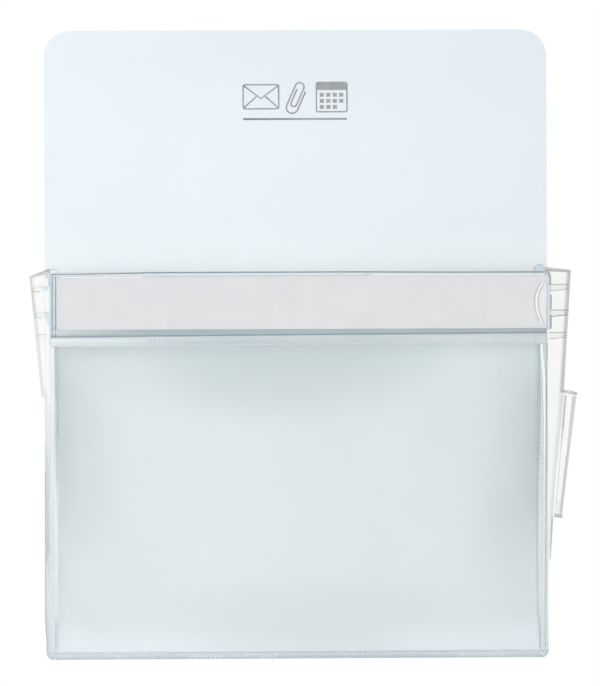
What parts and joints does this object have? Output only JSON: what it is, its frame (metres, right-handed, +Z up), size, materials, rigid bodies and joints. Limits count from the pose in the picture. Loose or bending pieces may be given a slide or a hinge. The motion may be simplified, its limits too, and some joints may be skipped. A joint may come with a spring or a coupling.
{
  "type": "magnetic document pocket",
  "caption": "Wall pocket for papers: white back sheet with rear magnet strips, clear front film that swings open between side gussets, sliding label card, pen sleeve on the side.",
  "frame": {"origin": "middle of the middle magnet strip's rear face, which is the centre of the back sheet, on the wall plane", "axes": "+Z up, +Y out of the rear into the wall, +X to the right seen from the front"},
  "size_m": [0.2624, 0.0257, 0.3],
  "materials": {
    "white_sheet": "satin",
    "magnet_rubber": "matte",
    "tape": "matte",
    "front_film": "glossy",
    "clear_film": "glossy",
    "weld_film": "ribbed",
    "card": "matte"
  },
  "bodies": {
    "back": {"back_sheet": "white_sheet", "upper_magnet": "magnet_rubber", "middle_magnet": "magnet_rubber", "lower_magnet": "magnet_rubber", "upper_tape": "tape", "middle_tape": "tape", "lower_tape": "tape", "bottom_weld": "weld_film", "left_rear_weld": "weld_film", "right_rear_weld": "weld_film"},
    "front": {"front_film": "front_film", "label_window": "clear_film", "left_front_weld": "weld_film", "right_front_weld": "weld_film"},
    "label": {"label_card": "card"},
    "left_rear_leaf": {"left_gusset_rear_leaf": "clear_film"},
    "left_front_leaf": {"left_gusset_front_leaf": "clear_film"},
    "right_rear_leaf": {"right_gusset_rear_leaf": "clear_film"},
    "right_front_leaf": {"right_gusset_front_leaf": "clear_film", "pen_sleeve": "clear_film"}
  },
  "joints": [
    {"name": "pocket_open", "type": "hinge", "parent": "back", "child": "front", "pos_m": [0, -0.00365, -0.146], "axis": [1, 0, 0], "range_deg": [-5, 2], "stiffness_Nm_per_rad": 0.3, "springref_deg": -0.69},
    {"name": "left_rear_fold", "type": "hinge", "parent": "back", "child": "left_rear_leaf", "pos_m": [-0.118, -0.0025, -0.15125], "axis": [0, 0, 1], "range_deg": [-37.5, 15]},
    {"name": "right_rear_fold", "type": "hinge", "parent": "back", "child": "right_rear_leaf", "pos_m": [0.118, -0.0025, -0.15125], "axis": [0, 0, -1], "range_deg": [-37.5, 15]},
    {"name": "left_front_fold", "type": "hinge", "parent": "front", "child": "left_front_leaf", "pos_m": [-0.118, -0.0031, -0.14597], "axis": [0, 0.1133, -0.9936], "range_deg": [-37.5, 15]},
    {"name": "right_front_fold", "type": "hinge", "parent": "front", "child": "right_front_leaf", "pos_m": [0.118, -0.0031, -0.14597], "axis": [0, -0.1133, 0.9936], "range_deg": [-37.5, 15]},
    {"name": "label_slide", "type": "slide", "parent": "front", "child": "label", "axis": [1, 0, 0], "range_m": [0, 0.235]}
  ],
  "couplings": [
    {"joint": "left_rear_fold", "follows": "pocket_open", "ratio": 7.5},
    {"joint": "right_rear_fold", "follows": "pocket_open", "ratio": 7.5},
    {"joint": "left_front_fold", "follows": "pocket_open", "ratio": 7.5},
    {"joint": "right_front_fold", "follows": "pocket_open", "ratio": 7.5}
  ]
}
